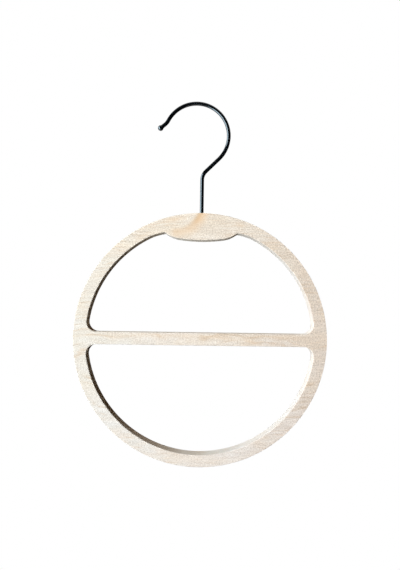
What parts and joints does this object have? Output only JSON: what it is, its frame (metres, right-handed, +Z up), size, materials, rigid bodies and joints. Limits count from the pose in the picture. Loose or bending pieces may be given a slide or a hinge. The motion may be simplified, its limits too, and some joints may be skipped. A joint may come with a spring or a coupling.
{
  "type": "scarf hanger",
  "caption": "Flat wooden ring with a level cross bar for scarves, hung from a swivelling bent wire hook with a ball end.",
  "frame": {"origin": "the inside of the hook's crest, where a wardrobe rod bears, in the middle of the board's thickness", "axes": "+Z up, +X to the right as the picture shows it, +Y from the front face to the back face"},
  "size_m": [0.23, 0.012, 0.333],
  "materials": {
    "pale_wood": "bleached, fine level grain, clear satin",
    "black_lacquer": "smooth black lacquer, glossy",
    "nail_steel": "bright drawn wire"
  },
  "bodies": {
    "hook": {"hook": "black_lacquer"},
    "frame": {"frame_board": "pale_wood", "retaining_nail": "nail_steel"}
  },
  "joints": [
    {"name": "hook_swivel", "type": "hinge", "parent": "hook", "child": "frame", "pos_m": [0.00558, 0, -0.0995], "axis": [0, 0, 1], "continuous": true}
  ]
}
